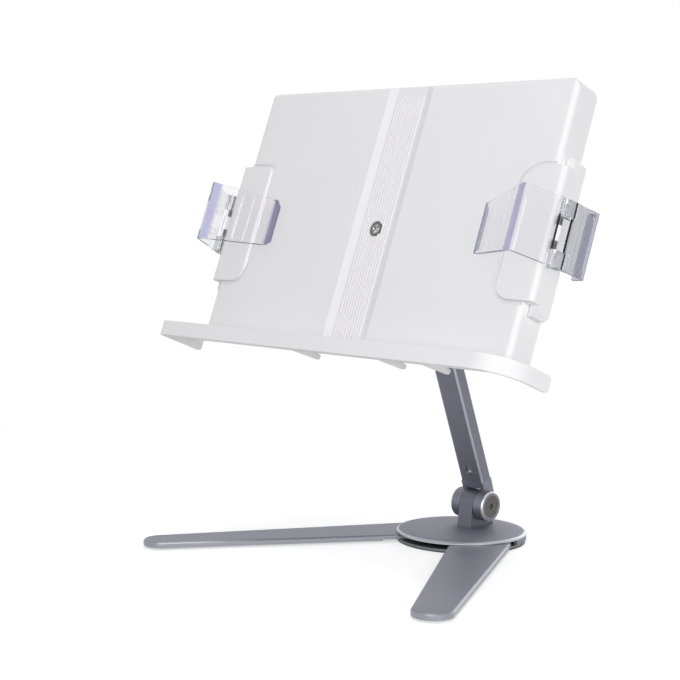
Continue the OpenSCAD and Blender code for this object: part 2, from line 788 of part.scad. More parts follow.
module panel_back() {
    inside = shell_wall + slip;
    color("#e9e7e4") at_panel() difference() {
        translate([inside - half_w, cover_face_y, inside - panel_down])
            cube([panel_w - 2 * inside, back_t, panel_up + panel_down - 2 * inside]);
        rod_y(cover_face_y - past, back_y + past, boss_screw_r + fit);
        for (side = [-1, 1], p = back_posts) translate([side * p[0], 0, p[1]])
            rod_y(cover_face_y - past, back_y + past, screw_r + fit);
    }
}

module back_screws() {
    color("#8d9094") at_panel()
    for (side = [-1, 1], p = back_posts) translate([side * p[0], 0, p[1]]) {
        rod_y(back_y, back_y + screw_head_t, screw_head_r);
        rod_y(cover_face_y - screw_bite, back_y, screw_r);
    }
}

module panel_screw() {
    seat = channel_y + boss_recess;
    color("#c9ccd0") at_panel() difference() {
        union() {
            rod_y(seat - boss_head_t, seat, boss_head_r);
            rod_y(seat, boss_screw_end, boss_screw_r);
        }
        translate([0, seat - boss_head_t, 0]) cross_slot(boss_cross);
    }
}

// ledge

module at_ledge_screws() {
    for (side = [-1, 1], x = ledge_screw_x) translate([side * x, ledge_screw_y, -panel_down]) children();
}

module ledge_plan(inset) {
    polygon(concat(
        [[ledge_half - inset, face_y + ledge_back[1]], [0, face_y + ledge_back[1]],
            [0, face_y + ledge_back[0]], [inset - ledge_half, face_y + ledge_back[0]]],
        arc([ledge_r[0] - ledge_half, lip_y + ledge_r[0]], ledge_r[0] - inset, 180, 270, 6),
        arc([ledge_half - ledge_r[1], lip_y + ledge_r[1]], ledge_r[1] - inset, 270, 360, 16)));
}

// what rounds the lower rear corner, at the origin, of one of the ledge's ends
module end_bite() {
    difference() {
        translate([-ledge_end_r, -past]) square(ledge_end_r + past);
        translate([-ledge_end_r, ledge_end_r]) circle(r = ledge_end_r);
    }
}

module ledge() {
    fin_end = [lip_y + lip_wall + fin_len, lip_bottom + fin_up];
    fin_start = lip_y + lip_wall / 2;
    floor_bottom = floor_top - floor_t;
    color("#f1efec") at_panel() difference() {
        union() {
            difference() {
                translate([0, 0, lip_bottom]) linear_extrude(lip_h) ledge_plan(0);
                translate([0, 0, floor_top]) linear_extrude(lip_h) ledge_plan(lip_wall);
                translate([0, 0, lip_bottom - past]) linear_extrude(floor_bottom - lip_bottom + past)
                    ledge_plan(lip_wall);
                translate([lip_wall - ledge_half, face_y + lip_wall, lip_bottom - past])
                    cube([2 * (ledge_half - lip_wall), max(ledge_back), lip_h + 2 * past]);
                for (i = [0, 1]) across((i - 1) * (ledge_half + past), i * (ledge_half + past)) {
                    translate([face_y + ledge_back[i], lip_bottom]) end_bite();
                    translate([face_y + ledge_back[i], lip_top]) mirror([0, 1, 0]) end_bite();
                }
            }
            // foot that carries the panel and its flange under the panel's floor
            across(shell_wall - half_w, half_w - shell_wall) polygon([
                [face_y, floor_bottom], [face_y + lip_wall, floor_bottom],
                [face_y + lip_wall, -panel_down - flange_t], [flange_y, -panel_down - flange_t],
                [flange_y, -panel_down], [face_y, -panel_down]]);
            for (x = fin_x) across(x - fin_t / 2, x + fin_t / 2) polygon(concat(
                [[fin_start, floor_top - floor_t / 2], [fin_start, lip_bottom + slip],
                    [lip_y + lip_wall, lip_bottom + slip]],
                arc(fin_end + [-fin_r, fin_r], fin_r, 270, 360, 6),
                [[fin_end[0], floor_bottom], [face_y, floor_top - floor_t / 2]]));
        }
        at_ledge_screws() translate([0, 0, -flange_t - past])
            cylinder(h = flange_t + 2 * past, r = screw_r + fit);
    }
}

module ledge_screws() {
    color("#8d9094") at_panel()
    at_ledge_screws() {
        translate([0, 0, -flange_t - screw_head_t]) cylinder(h = screw_head_t, r = screw_head_r);
        translate([0, 0, -flange_t]) cylinder(h = flange_t + shell_wall, r = screw_r);
    }
}

// side plates

// outline of a side plate's face, or of the recess around it, as far out as a place on x
module face_outline(side, more, out) {
    top_r = face_top_r[side < 0 ? 0 : 1];
    polygon(concat(
        arc([face_x + top_r, face_half - top_r], top_r + more, 90, 180),
        arc([face_x + face_r, face_r - face_half], face_r + more, 180, 270),
        [[out, -face_half - more], [out, face_half + more]]));
}

module side_plate_body(side) {
    difference() {
        union() {
            difference() {
                union() {
                    intersection() {
                        translate([0, 0, -face_half]) linear_extrude(2 * face_half) polygon(concat(
                            [[face_x, side_front + plate_wall]],
                            arc([face_x + lead_r, side_front + lead_r], lead_r, 180, 270, 4),
                            arc([side_x - edge_r, side_front + edge_r], edge_r, 270, 360),
                            [[side_x, side_rear], [side_in, side_rear],
                                [side_in, side_front + plate_wall]]));
                        through(side_front - past, side_rear + past) face_outline(side, 0, side_x);
                    }
                    through(face_y + side_set, side_rear) polygon([
                        [side_in, -side_half], [side_x - side_cut, -side_half],
                        [side_x, side_cut - side_half], [side_x, side_half - side_cut],
                        [side_x - side_cut, side_half], [side_in, side_half]]);
                }
                // the outer wall is a trough that is open towards the panel and to the back
                for (end = [[face_half, 0], [side_half, side_set]])
                    translate([half_w, face_y + end[1] + plate_wall, plate_wall - end[0]])
                        cube([side_out - plate_wall, side_depth, 2 * (end[0] - plate_wall)]);
            }
            translate([half_w - tongue_in, tongue_y - tongue_t / 2, -tongue_half])
                cube([tongue_in + side_out - plate_wall / 2, tongue_t, 2 * tongue_half]);
            // barrel on the clip's pin, on a web from the outer wall
            translate([axis_x, axis_y, -barrel_len / 2]) cylinder(h = barrel_len, r = plate_barrel_r);
            translate([side_x - past, axis_y, -barrel_len / 2])
                cube([axis_out + past, plate_barrel_r, barrel_len]);
        }
        translate([axis_x, axis_y, -barrel_len]) cylinder(h = 2 * barrel_len, r = pin_r + tight);
    }
}

module side_plate(side) {
    color("#f1efec") at_panel() sided(side) side_plate_body(side);
}
module side_plate_left() side_plate(-1);
module side_plate_right() side_plate(1);

module clip_pin(side) {
    color("#8d9094") at_panel() at_clip(side)
        cylinder(h = clip_h - 2 * pin_sink, r = pin_r, center = true);
}
module clip_pin_left() clip_pin(-1);
module clip_pin_right() clip_pin(1);

// page clips

// corners of a clip's outer line, from its foot over the ridge and past the axis to the handle's lip
tip_y = -axis_back - tip_gap;
tip_corner = [-tip_in, tip_y - tip_foot];
ridge_corner = [-ridge_in, -ridge_fwd];
bend_corner = [bend_out, -bend_fwd];
handle_corner = [handle_out, handle_back];
lip_end = [handle_out - handle_lip, handle_back + handle_slope];
clip_path = concat(
    [[-tip_in, tip_y], tip_corner], rounded(tip_corner, ridge_corner, bend_corner, ridge_r), [bend_corner],
    rounded(bend_corner, handle_corner, lip_end, handle_r), [lip_end]);

// how far out the handle's outer and inner face are at a place behind the axis
function wall_out(y) =
    let (a = bend_corner, b = handle_corner) a[0] + (b[0] - a[0]) * (y - a[1]) / (b[1] - a[1]);
function wall_in(y) = wall_out(y) + clip_wall / left_of(unit(handle_corner - bend_corner))[0];

module clip_body() {
    knuckle_h = (clip_h - window_h) / 2;
    narrow_in = ridge_in + clip_wall;
    knuckle_face = wall_out(knuckle_back) + knuckle_out;
    flange_dir = unit(ridge_corner - tip_corner);
    flange_mid = (tip_corner + ridge_corner) / 2 + clip_wall * left_of(flange_dir);
    difference() {
        union() {
            translate([0, 0, -clip_h / 2]) linear_extrude(clip_h) polygon(band(clip_path, clip_wall));
            for (up = [-1, 1]) translate([0, 0, up * (clip_h - knuckle_h) / 2 - knuckle_h / 2]) {
                cylinder(h = knuckle_h, r = knuckle_r);
                linear_extrude(knuckle_h) polygon([
                    [0, -knuckle_r], [wall_out(-knuckle_r) + knuckle_out, -knuckle_r],
                    [knuckle_face, knuckle_back], [wall_in(knuckle_back) - knuckle_web, knuckle_back],
                    [0, knuckle_r]]);
            }
            // ribs down the inside of the page flange
            for (i = [0 : flange_ribs - 1])
                translate(flange_mid + (i - (flange_ribs - 1) / 2) * flange_rib_pitch * flange_dir)
                    cylinder(h = tip_h, r = flange_rib_r, $fn = 8, center = true);
        }
        // the page flange narrows to its tip
        for (up = [-1, 1]) rotate([90, 0, 0]) translate([0, 0, -ridge_fwd]) linear_extrude(3 * ridge_fwd)
            polygon([[-tip_in - clip_wall, up * tip_h / 2], [-tip_in, up * tip_h / 2],
                [-narrow_in, up * clip_h / 2], [-narrow_in, up * clip_h],
                [-tip_in - clip_wall, up * clip_h]]);
        // the foot's corners are cut towards the panel
        for (up = [-1, 1]) across(-tip_in - past, 2 * clip_wall - tip_in) polygon([
            [tip_y + past, up * (tip_h / 2 - tip_cut - past)], [tip_y + past, up * (tip_h / 2 + past)],
            [tip_y - tip_cut - past, up * (tip_h / 2 + past)]]);
        translate([-knuckle_r, -window_fwd, -window_h / 2])
            cube([2 * knuckle_r + bend_out + clip_wall, window_fwd + window_back, window_h]);
        cylinder(h = 2 * clip_h, r = pin_r + fit, center = true);
        finger_recess();
    }
}

// shallow recess for a finger on the outside of the handle
module finger_recess() {
    run = handle_corner - bend_corner;
    translate(handle_corner) rotate([0, 0, atan2(run[1], run[0])])
        translate([-recess_in, -past, 0]) rotate([-90, 0, 0])
            linear_extrude(recess_d + past) soft_rect(recess_w, clip_h - 2 * recess_edge, recess_r);
}

module clip_left() color("#dfe0f2") at_panel() at_clip(-1) clip_body();
module clip_right() color("#dfe0f2") at_panel() at_clip(1) clip_body();

// torsion springs on the clip pins: one leg on the side plate's wall, one on the clip's wall

coil_low = barrel_len / 2 + wire_r + fit;
coil_top = coil_low + curl_pitch * curls;
plate_leg = [wire_r + fit - axis_out, spring_leg];
clip_leg = [wall_in(spring_leg) - wire_r - slip, spring_leg];
// place of a straight end's start, one wire thickness before its tip
clip_leg_start = [wall_in(spring_leg - 2 * wire_r) - wire_r - slip, spring_leg - 2 * wire_r];
// the coil starts on the side of the side plate and ends on the side of the clip
coil_steps = 8 * curls;
coil_path = concat(
    [[plate_leg[0], plate_leg[1], coil_low], [plate_leg[0], plate_leg[1] - 2 * wire_r, coil_low]],
    [for (i = [0 : coil_steps]) [
        curl_r * cos(180 + 45 * i), curl_r * sin(180 + 45 * i), coil_low + curl_pitch * i / 8]],
    [[clip_leg_start[0], clip_leg_start[1], coil_top], [clip_leg[0], clip_leg[1], coil_top]]);
coil_last = len(coil_path) - 1;
function coil_dir(i) = unit(coil_path[min(i + 1, coil_last)] - coil_path[max(i - 1, 0)]);
function coil_ring(i) =
    let (t = coil_dir(i), a = unit(cross([0, 0, 1], t)), b = cross(t, a))
    [for (k = [0 : 5]) coil_path[i] + wire_r * (cos(60 * k) * a + sin(60 * k) * b)];
coil_points = [for (i = [0 : coil_last]) each coil_ring(i)];
coil_faces = concat(
    [for (k = [1 : 4]) [0, k + 1, k]],
    [for (i = [0 : coil_last - 1], k = [0 : 5]) let (n = (k + 1) % 6) each [
        [6 * i + k, 6 * i + n, 6 * i + 6 + k], [6 * i + n, 6 * i + 6 + n, 6 * i + 6 + k]]],
    [for (k = [1 : 4]) [6 * coil_last, 6 * coil_last + k, 6 * coil_last + k + 1]]);
// least distance between points of the wire more than half a curl apart, less the wire itself
coil_gap = min([for (i = [0 : coil_last], j = [i + 5 : coil_last])
    if (j <= coil_last) norm(coil_path[j] - coil_path[i])]) - 2 * wire_r;
echo(spring_least_gap = coil_gap);

module coil() polyhedron(coil_points, coil_faces);

module spring(side, up) {
    color("#6d7073") at_panel() at_clip(side) mirror([0, 0, up < 0 ? 1 : 0]) coil();
}
module spring_left_top() spring(-1, 1);
module spring_left_bottom() spring(-1, -1);
module spring_right_top() spring(1, 1);
module spring_right_bottom() spring(1, -1);

base_pad();
base_plate();
base_cover();
leg_pin_left();
leg_pin_right();
lug_screws();
base_lug();
leg_left();
leg_right();
leg_foot_left();
leg_foot_right();
lower_fork();
upper_fork();
post_tube();
post_screw_lower();
post_screw_upper();
lower_bolt();
upper_bolt();
lower_cap_left();
lower_cap_right();
upper_cap_left();
upper_cap_right();
panel_head();
panel_shell();
panel_back();
back_screws();
panel_screw();
ledge();
ledge_screws();
side_plate_left();
side_plate_right();
clip_pin_left();
clip_pin_right();
clip_left();
clip_right();
spring_left_top();
spring_left_bottom();
spring_right_top();
spring_right_bottom();
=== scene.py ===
# Looks of an adjustable book stand: a white panel with a ledge and clear sprung page clips,
# on a twice-hinged aluminium post over a round base with two swinging legs.

import json
import math
import bpy
from mathutils import Matrix, Vector


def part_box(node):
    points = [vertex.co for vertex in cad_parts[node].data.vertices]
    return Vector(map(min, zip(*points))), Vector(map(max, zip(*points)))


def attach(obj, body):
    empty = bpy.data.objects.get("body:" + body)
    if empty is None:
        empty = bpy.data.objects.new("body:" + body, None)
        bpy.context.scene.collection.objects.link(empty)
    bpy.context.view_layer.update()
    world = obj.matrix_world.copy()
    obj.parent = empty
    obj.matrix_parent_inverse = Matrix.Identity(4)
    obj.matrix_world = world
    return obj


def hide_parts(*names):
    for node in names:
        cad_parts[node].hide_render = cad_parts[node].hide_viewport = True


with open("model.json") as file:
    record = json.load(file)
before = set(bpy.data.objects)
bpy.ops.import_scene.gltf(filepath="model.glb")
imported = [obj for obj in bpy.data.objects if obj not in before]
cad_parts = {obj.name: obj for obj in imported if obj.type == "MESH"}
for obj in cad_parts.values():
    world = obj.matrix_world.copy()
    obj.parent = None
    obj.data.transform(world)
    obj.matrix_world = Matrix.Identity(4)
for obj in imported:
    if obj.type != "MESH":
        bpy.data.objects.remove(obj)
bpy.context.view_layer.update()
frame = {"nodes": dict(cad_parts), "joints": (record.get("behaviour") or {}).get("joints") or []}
bpy.ops.object.select_all(action="DESELECT")


# Camera
# A short telephoto lens a little above the ledge's height, off to the stand's right.
# Place and turn were fitted to the edges of the panel, the post, the base and the legs.

eye_place = Vector((0.7674, -0.9092, 0.2627))
turn, rise, roll = math.radians(44.80), math.radians(5.18), math.radians(0.66)
level_back = Vector((math.sin(turn), -math.cos(turn), 0))
back = level_back * math.cos(rise) + Vector((0, 0, math.sin(rise)))
level = Vector((math.cos(turn), math.sin(turn), 0))
upright = back.cross(level)
right = level * math.cos(roll) + upright * math.sin(roll)
up = upright * math.cos(roll) - level * math.sin(roll)
eye = bpy.data.cameras.new("eye")
eye.sensor_width = 36
eye.lens = 81.7
eye.clip_start = 0.05
eye.clip_end = 40
camera = bpy.data.objects.new("camera", eye)
bpy.context.scene.collection.objects.link(camera)
camera.matrix_world = Matrix.Translation(eye_place) @ Matrix((right, up, back)).transposed().to_4x4()
bpy.context.scene.camera = camera


# Foam pad and feet
# A die-cut disc of black foam rubber glued under the base, and a pressed rubber button under
# each leg's tip. Fine closed cells show on the cut face.

def finish(name):
    """A new material; gives back the material, its node tree and its surface shader."""
    material = bpy.data.materials.new(name)
    material.use_nodes = True
    tree = material.node_tree
    return material, tree, tree.nodes["Principled BSDF"]


def add(tree, kind, **values):
    """A node with its properties and unlinked inputs set by name."""
    node = tree.nodes.new("ShaderNode" + kind)
    for key, value in values.items():
        if key in node.inputs:
            node.inputs[key].default_value = value
        else:
            setattr(node, key, value)
    return node


def tones(tree, source, low, high, start=0.3, end=0.7):
    """A ramp between two colours over a texture's value."""
    ramp = add(tree, "ValToRGB")
    ramp.color_ramp.elements[0].position = start
    ramp.color_ramp.elements[0].color = (*low, 1)
    ramp.color_ramp.elements[1].position = end
    ramp.color_ramp.elements[1].color = (*high, 1)
    tree.links.new(source, ramp.inputs["Fac"])
    return ramp.outputs["Color"]


def relief(tree, height, depth, strength, edge=0.0):
    """A bump of a given depth in metres over edges that are softened by a given radius."""
    bump = add(tree, "Bump", Strength=strength, Distance=depth)
    tree.links.new(height, bump.inputs["Height"])
    if edge:
        soft = add(tree, "Bevel", samples=6, Radius=edge)
        tree.links.new(soft.outputs["Normal"], bump.inputs["Normal"])
    return bump.outputs["Normal"]


def dress(material, *names):
    """Gives a material to CAD nodes by their names."""
    for name in names:
        for slot in frame["nodes"][name].material_slots:
            slot.material = material


foam_tones = (0.012, 0.012, 0.013), (0.035, 0.035, 0.037)
foam, tree, shader = finish("foam_rubber")
cells = add(tree, "TexVoronoi", Scale=900.0)
place = add(tree, "TexCoord")
tree.links.new(place.outputs["Object"], cells.inputs["Vector"])
from_cell = cells.outputs["Distance"]
tree.links.new(tones(tree, from_cell, *foam_tones, start=0, end=0.8), shader.inputs["Base Color"])
tree.links.new(relief(tree, from_cell, depth=0.0002, strength=0.5), shader.inputs["Normal"])
shader.inputs["Roughness"].default_value = 0.85
dress(foam, "base_pad", "leg_foot_left", "leg_foot_right")


# Bottom plate
# A round sheet of brushed steel, which shows as a thin grey line under the base cover.
# The legs' pins and the lug's screws are sunk into it from below.

def grain(tree, scale, detail=3.0, stretch=(1, 1, 1), lean=0.0):
    """Noise in the stand's own coordinates, drawn out along an axis that leans about X."""
    place = add(tree, "TexCoord")
    aim = add(tree, "Mapping", Rotation=(lean, 0, 0), Scale=stretch)
    noise = add(tree, "TexNoise", Scale=scale, Detail=detail)
    tree.links.new(place.outputs["Object"], aim.inputs["Vector"])
    tree.links.new(aim.outputs["Vector"], noise.inputs["Vector"])
    return noise.outputs["Fac"]


def span(tree, source, low, high):
    """A texture's value carried into a range of plain numbers."""
    ranged = add(tree, "MapRange")
    ranged.inputs["To Min"].default_value = low
    ranged.inputs["To Max"].default_value = high
    tree.links.new(source, ranged.inputs["Value"])
    return ranged.outputs["Result"]


def textured(name, scale, detail, tints, rough, metallic, **bump):
    """A material whose colour, roughness and relief follow one noise."""
    material, tree, shader = finish(name)
    noise = grain(tree, scale, detail)
    tree.links.new(tones(tree, noise, *tints), shader.inputs["Base Color"])
    tree.links.new(span(tree, noise, *rough), shader.inputs["Roughness"])
    if bump:
        tree.links.new(relief(tree, noise, **bump), shader.inputs["Normal"])
    shader.inputs["Metallic"].default_value = metallic
    return material


plate_tones = (0.150, 0.156, 0.170), (0.200, 0.206, 0.222)
plate = textured("bottom_plate", scale=260.0, detail=3.0, tints=plate_tones, rough=(0.38, 0.58),
                 metallic=0.8, depth=0.00005, strength=0.3, edge=0.0003)
dress(plate, "base_plate")


# Base cover
# A turned aluminium disc with a slot for the legs, sprayed with a satin silver paint whose
# flakes give a fine sparkle. Its outer rim above the legs' slot has a lighter, smoother tone, a painted
# highlight.

disc_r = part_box("base_cover")[1].x
leg_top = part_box("leg_left")[1].z
# how wide the rim's painted highlight is, and over how much it fades in
rim_wide, rim_fade = 0.0022, 0.0007
slot_fade = 0.0003
flake_tones = (0.86, 0.86, 0.86), (1, 1, 1)
silver_tones = (0.212, 0.220, 0.264), (0.236, 0.244, 0.292)


def rising(tree, source, start, end):
    """From zero at one value of a coordinate to one at another."""
    ramp = add(tree, "MapRange")
    ramp.inputs["From Min"].default_value = start
    ramp.inputs["From Max"].default_value = end
    tree.links.new(source, ramp.inputs["Value"])
    return ramp.outputs["Result"]


def both(tree, first, second):
    """The product of two values, so one only where both are."""
    product = add(tree, "Math", operation="MULTIPLY")
    tree.links.new(first, product.inputs[0])
    tree.links.new(second, product.inputs[1])
    return product.outputs["Value"]


def axes(tree):
    """The stand's own coordinates and their three parts."""
    place = add(tree, "TexCoord")
    parts = add(tree, "SeparateXYZ")
    tree.links.new(place.outputs["Object"], parts.inputs["Vector"])
    return place.outputs["Object"], parts.outputs


def from_axis(tree, where, kept):
    """The distance from an axis, of which only the two coordinates that are kept count."""
    flat = add(tree, "Mapping", Scale=kept)
    reach = add(tree, "VectorMath", operation="LENGTH")
    tree.links.new(where, flat.inputs["Vector"])
    tree.links.new(flat.outputs["Vector"], reach.inputs[0])
    return reach.outputs["Value"]


def bright_cut_and_highlight(tree, shader, colour, rough, bright_part, bright_tone, polish):
    """Joins a paint's colour and roughness to the shader, and a lighter tone and lower roughness where the
    mask is one: bare metal on a bright-cut edge, a painted highlight on the other edges.
    """
    mixed = add(tree, "Mix", data_type="RGBA")
    mixed.inputs["B"].default_value = (*bright_tone, 1)
    tree.links.new(bright_part, mixed.inputs["Factor"])
    tree.links.new(colour, mixed.inputs["A"])
    tree.links.new(mixed.outputs["Result"], shader.inputs["Base Color"])
    smooth = add(tree, "Mix", data_type="FLOAT")
    smooth.inputs["B"].default_value = polish
    tree.links.new(bright_part, smooth.inputs["Factor"])
    tree.links.new(rough, smooth.inputs["A"])
    tree.links.new(smooth.outputs["Result"], shader.inputs["Roughness"])


def sprayed(name, paint, satin, find_bright, bright_tone, polish):
    """Silver paint between two tones and two roughnesses, with lighter, smoother edges that a function
    finds: bare metal where they are bright-cut, a painted highlight elsewhere.
    """
    material, tree, shader = finish(name)
    flakes = add(tree, "TexVoronoi", Scale=2600.0)
    tree.links.new(axes(tree)[0], flakes.inputs["Vector"])
    sparkle = tones(tree, flakes.outputs["Color"], *flake_tones, start=0, end=1)
    cloud = grain(tree, scale=34.0, detail=4.0)
    speck = add(tree, "Mix", data_type="RGBA", blend_type="MULTIPLY")
    speck.inputs["Factor"].default_value = 1.0
    tree.links.new(sparkle, speck.inputs["A"])
    tree.links.new(tones(tree, cloud, *paint), speck.inputs["B"])
    rough = span(tree, cloud, *satin)
    bright_cut_and_highlight(tree, shader, speck.outputs["Result"], rough, find_bright(tree), bright_tone, polish)
    bumps = relief(tree, flakes.outputs["Distance"], depth=0.00004, strength=0.25, edge=0.0004)
    tree.links.new(bumps, shader.inputs["Normal"])
    shader.inputs["Metallic"].default_value = 0.65
    return material


def rim_highlight(tree):
    """One on the disc's outermost ring, above the legs' slot."""
    where, parts = axes(tree)
    rim_start = disc_r - rim_wide
    at_rim = rising(tree, from_axis(tree, where, (1, 1, 0)), rim_start, rim_start + rim_fade)
    return both(tree, at_rim, rising(tree, parts["Z"], leg_top, leg_top + slot_fade))


cover_paint = sprayed("cover_paint", silver_tones, satin=(0.50, 0.58), find_bright=rim_highlight,
                      bright_tone=(0.47, 0.48, 0.51), polish=0.25)
dress(cover_paint, "base_cover")


# Legs
# Flat aluminium castings with a rounded tip, sprayed like the cover. Their edges below the flat top
# have a lighter, smoother tone, a painted highlight. Each turns on a pin between the cover and the
# bottom plate.

# how far below the legs' flat top their edges' painted highlight begins and is full
edge_start, edge_full = 0.00015, 0.0006


def leg_edge_highlight(tree):
    """One on a leg's edge, below its flat top."""
    return rising(tree, axes(tree)[1]["Z"], leg_top - edge_start, leg_top - edge_full)


leg_paint = sprayed("leg_paint", silver_tones, satin=(0.42, 0.50), find_bright=leg_edge_highlight,
                    bright_tone=(0.27, 0.28, 0.31), polish=0.33)
dress(leg_paint, "leg_left", "leg_right")


# Hinge lug, forks and head
# Cast aluminium. The lug is screwed on from below the cover, the forks are plugged into the post's
# ends, and the head is screwed to the panel. The forks' ears have a bright-cut edge.

ear_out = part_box("lower_fork")[1].x
# how far in from the ears' outer faces the bare edge begins and is full, and fades and ends
ear_edge, ear_face = (0.0015, 0.00105), (0.0001, 0.00002)


def aside(tree):
    """The distance to the stand's middle plane."""
    across = add(tree, "Math", operation="ABSOLUTE")
    tree.links.new(axes(tree)[1]["X"], across.inputs[0])
    return across.outputs["Value"]


def beside(tree, out, edge, face):
    """One on a band beside the outer faces at a distance from the middle plane, zero on the faces."""
    across = aside(tree)
    starts = rising(tree, across, out - edge[0], out - edge[1])
    return both(tree, starts, rising(tree, across, out - face[1], out - face[0]))


def ear_cut(tree):
    """One on the rounded edge of the forks' ears."""
    return beside(tree, ear_out, ear_edge, ear_face)


# the lug's paint is darker than the forks': painted shade, for the shade it lies in under the panel
lug_shaded_tones = (0.158, 0.163, 0.194), (0.178, 0.184, 0.217)
cast = dict(satin=(0.40, 0.47), find_bright=ear_cut, bright_tone=(0.58, 0.59, 0.61), polish=0.25)
dress(sprayed("fork_paint", silver_tones, **cast), "lower_fork", "upper_fork", "panel_head")
dress(sprayed("lug_paint_painted_shade", lug_shaded_tones, **cast), "base_lug")


# Post tube
# A flat aluminium extrusion with rounded corners, cut to length and anodised. Faint lines
# from the die run along it. Its corners have a lighter, smoother tone, a painted highlight.

joints = {joint["name"]: joint for joint in frame["joints"]}
upper_hinge = Vector(joints["panel_tilt"]["pos_m"])
post_run = upper_hinge - Vector(joints["post_tilt"]["pos_m"])
post_lean = math.atan2(-post_run.y, post_run.z)
post_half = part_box("post_tube")[1].x
# how far in from the tube's narrow faces the corners' painted highlight begins and is full, and fades and
# ends
post_corner, post_face = (0.0016, 0.00128), (0.0002, 0.00004)

tube_tones = (0.165, 0.171, 0.204), (0.186, 0.193, 0.230)
tube, tree, shader = finish("anodised_tube")
lines = grain(tree, scale=900.0, detail=2.0, stretch=(1, 1, 0.012), lean=-post_lean)
cloud = tones(tree, grain(tree, scale=30.0), *tube_tones)
corner_highlight = beside(tree, post_half, post_corner, post_face)
bright_cut_and_highlight(tree, shader, cloud, span(tree, lines, low=0.34, high=0.5), corner_highlight,
           bright_tone=(0.44, 0.45, 0.48), polish=0.30)
tree.links.new(relief(tree, lines, depth=0.00003, strength=0.35), shader.inputs["Normal"])
shader.inputs["Metallic"].default_value = 0.65
dress(tube, "post_tube")


# Pins, bolts and screws
# Turned and cold-headed steel with a bright zinc plate, a little dull where the tool cut it.
# The pins carry the legs and the clips, the bolts the hinges, and the screws hold the rest together.

steel_tones = (0.42, 0.42, 0.43), (0.60, 0.60, 0.61)
steel = textured("plated_steel", scale=1500.0, detail=2.0, tints=steel_tones, rough=(0.22, 0.36),
                 metallic=1.0, depth=0.00002, strength=0.3, edge=0.0002)
dress(steel, "leg_pin_left", "leg_pin_right", "clip_pin_left", "clip_pin_right", "lower_bolt",
      "upper_bolt", "lug_screws", "post_screw_lower", "post_screw_upper", "back_screws", "ledge_screws")


# Hinge caps
# Dark moulded inserts, each with a hexagon socket, in the outer faces of the forks' ears.
# They are pressed in over the ends of the bolts.

cap_tones = (0.085, 0.080, 0.076), (0.120, 0.114, 0.108)
cap = textured("dark_cap", scale=700.0, detail=3.0, tints=cap_tones, rough=(0.42, 0.56),
               metallic=0.0, depth=0.00004, strength=0.4, edge=0.0003)
dress(cap, "lower_cap_left", "lower_cap_right", "upper_cap_left", "upper_cap_right")


# Panel, ledge, side plates and back cover
# Injection-moulded white plastic with a fine spark-eroded texture, so that it looks satin.
# Ten fine ribs run down the panel's channel. The back cover comes from another tool.

# the clips open about an axis that runs up the panel
clip_hinge = joints["clip_right_open"]
panel_up = Vector(clip_hinge["axis"])
panel_lean = math.atan2(-panel_up.y, panel_up.z)
panel_place = Matrix.Translation(upper_hinge) @ Matrix.Rotation(panel_lean, 4, "X")
rib_pitch, gap_half, rib_foot = 0.0027, 0.0005, 0.0008
ribs_half, ribs_side_fade = 0.0136, 0.0002
ribs_top, ribs_top_fade = 0.103, 0.0005
rib_shade = (0.93, 0.93, 0.935, 1)


def panel_axes(tree):
    """The panel's own coordinates and their parts: across, from front to back, and up."""
    onto_panel = panel_place.inverted()
    aim = add(tree, "Mapping", Location=onto_panel.translation, Rotation=onto_panel.to_euler())
    parts = add(tree, "SeparateXYZ")
    tree.links.new(axes(tree)[0], aim.inputs["Vector"])
    tree.links.new(aim.outputs["Vector"], parts.inputs["Vector"])
    return aim.outputs["Vector"], parts.outputs


def between_ribs(tree):
    """One on the channel's floor between its ribs, which lies in their shade."""
    parts = panel_axes(tree)[1]
    wave = add(tree, "Math", operation="PINGPONG")
    wave.inputs[1].default_value = rib_pitch / 2
    tree.links.new(parts["X"], wave.inputs[0])
    gap = rising(tree, wave.outputs["Value"], rib_foot, gap_half)
    inside = rising(tree, aside(tree), ribs_half, ribs_half - ribs_side_fade)
    below = rising(tree, parts["Z"], ribs_top, ribs_top - ribs_top_fade)
    return both(tree, both(tree, gap, inside), below)


def moulded_white(name, low, high, edge, find_shade=None):
    """Satin white plastic between two tones, with edges softened by a radius in metres."""
    material, tree, shader = finish(name)
    spark = grain(tree, scale=1700.0, detail=2.0)
    colour = tones(tree, grain(tree, scale=14.0), low, high)
    if find_shade:
        shaded = add(tree, "Mix", data_type="RGBA", blend_type="MULTIPLY")
        shaded.inputs["B"].default_value = rib_shade
        tree.links.new(find_shade(tree), shaded.inputs["Factor"])
        tree.links.new(colour, shaded.inputs["A"])
        colour = shaded.outputs["Result"]
    tree.links.new(colour, shader.inputs["Base Color"])
    tree.links.new(span(tree, spark, low=0.50, high=0.60), shader.inputs["Roughness"])
    bumps = relief(tree, spark, depth=0.00003, strength=0.35, edge=edge)
    tree.links.new(bumps, shader.inputs["Normal"])
    shader.inputs["Specular IOR Level"].default_value = 0.45
    return material


white_tones = (0.850, 0.845, 0.858), (0.868, 0.862, 0.872)
back_tones = (0.800, 0.795, 0.800), (0.825, 0.818, 0.822)
dress(moulded_white("panel_plastic", *white_tones, edge=0, find_shade=between_ribs), "panel_shell")
white = moulded_white("white_plastic", *white_tones, edge=0.0005)
dress(white, "ledge", "side_plate_left", "side_plate_right")
dress(moulded_white("back_plastic", *back_tones, edge=0.0004), "panel_back")


# Corner beads
# A short rod of the panel's own plastic inside each upper corner of the shell. The shell's hollow
# has square corners, which open a slit in the rounded ones, and the rod closes it from behind the
# face to the back cover.

hands = ("left", -1), ("right", 1)
panel_half, panel_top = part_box("panel_shell")[1].x, 0.111
